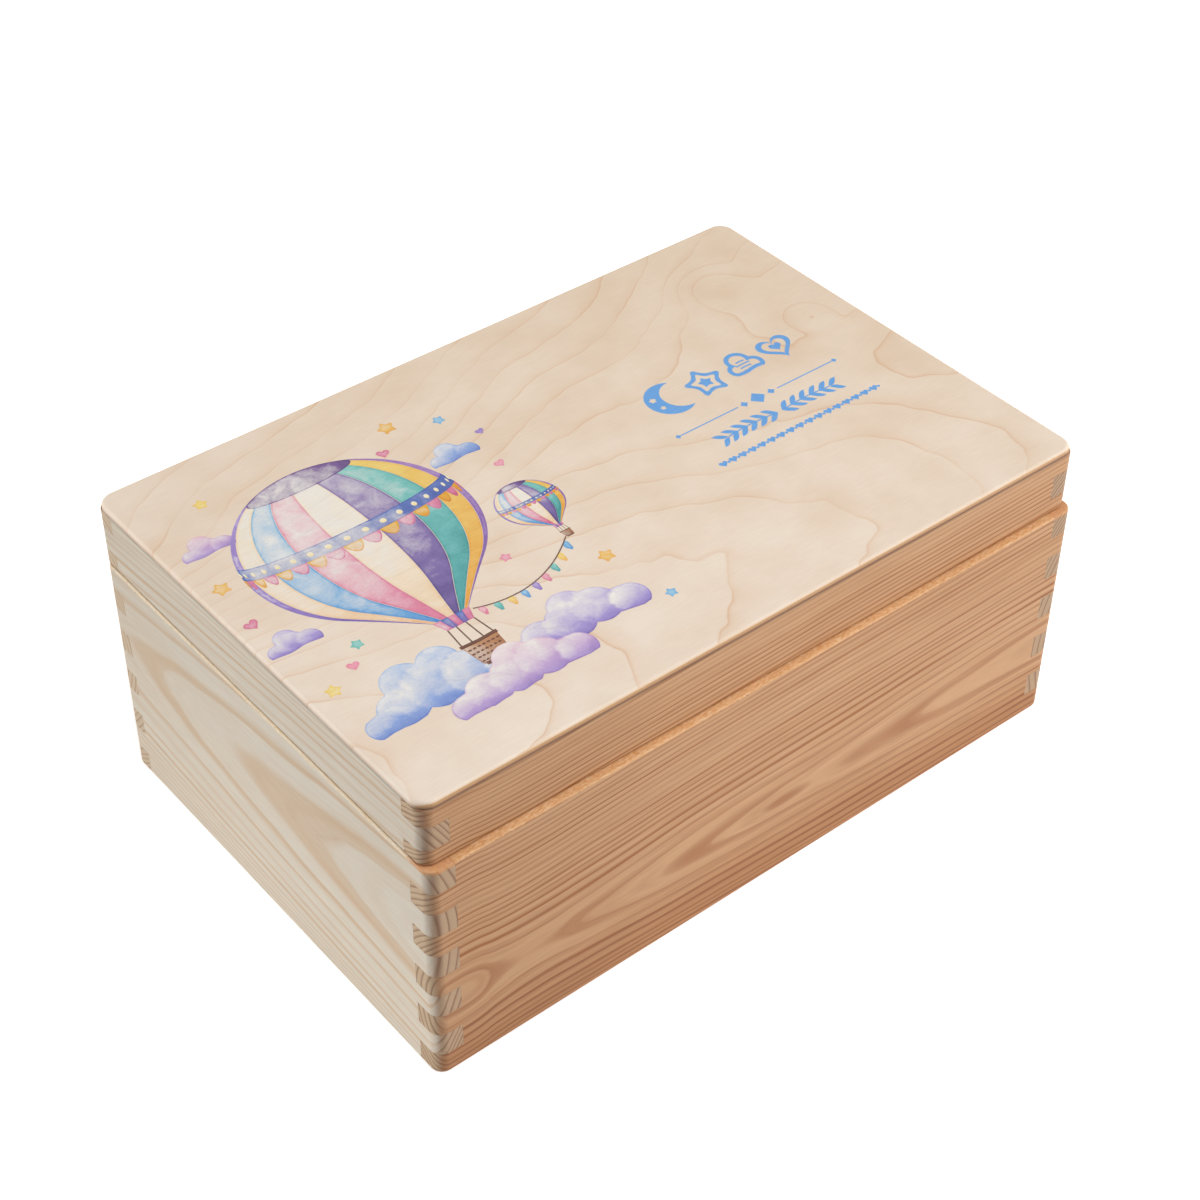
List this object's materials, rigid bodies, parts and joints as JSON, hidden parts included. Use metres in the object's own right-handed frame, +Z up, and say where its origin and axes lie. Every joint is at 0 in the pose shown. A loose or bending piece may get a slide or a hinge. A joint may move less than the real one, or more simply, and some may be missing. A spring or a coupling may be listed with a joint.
{
  "type": "keepsake box",
  "caption": "Rectangular wooden keepsake box with comb-jointed corners and a lid with a thin top panel, hinged at the back.",
  "frame": {"origin": "middle of the body's underside, on the surface that the box stands on", "axes": "+Z up, +X towards the right end, the front faces -Y and the hinges are at +Y"},
  "size_m": [0.3, 0.2051, 0.1285],
  "materials": {
    "pine_long_boards": "sanded, unfinished",
    "pine_side_boards": "sanded, unfinished",
    "birch_plywood": "sanded, unfinished",
    "hinge_brass": "rolled, plain",
    "screw_brass": "turned, plain",
    "bright_steel": "drawn wire"
  },
  "bodies": {
    "box": {"front_board": "pine_long_boards", "back_board": "pine_long_boards", "left_board": "pine_side_boards", "right_board": "pine_side_boards", "bottom_panel": "birch_plywood", "bottom_brads": "bright_steel", "left_hinge_body_leaf": "hinge_brass", "left_hinge_body_screws": "screw_brass", "left_hinge_pin": "bright_steel", "right_hinge_body_leaf": "hinge_brass", "right_hinge_body_screws": "screw_brass", "right_hinge_pin": "bright_steel"},
    "lid": {"lid_front_rail": "pine_long_boards", "lid_back_rail": "pine_long_boards", "lid_left_rail": "pine_side_boards", "lid_right_rail": "pine_side_boards", "lid_top_panel": "birch_plywood", "left_hinge_lid_leaf": "hinge_brass", "left_hinge_lid_screws": "screw_brass", "right_hinge_lid_leaf": "hinge_brass", "right_hinge_lid_screws": "screw_brass"}
  },
  "joints": [
    {"name": "lid_hinge", "type": "hinge", "parent": "box", "child": "lid", "pos_m": [0, 0.1032, 0.10075], "axis": [-1, 0, 0], "range_deg": [0, 180]}
  ]
}
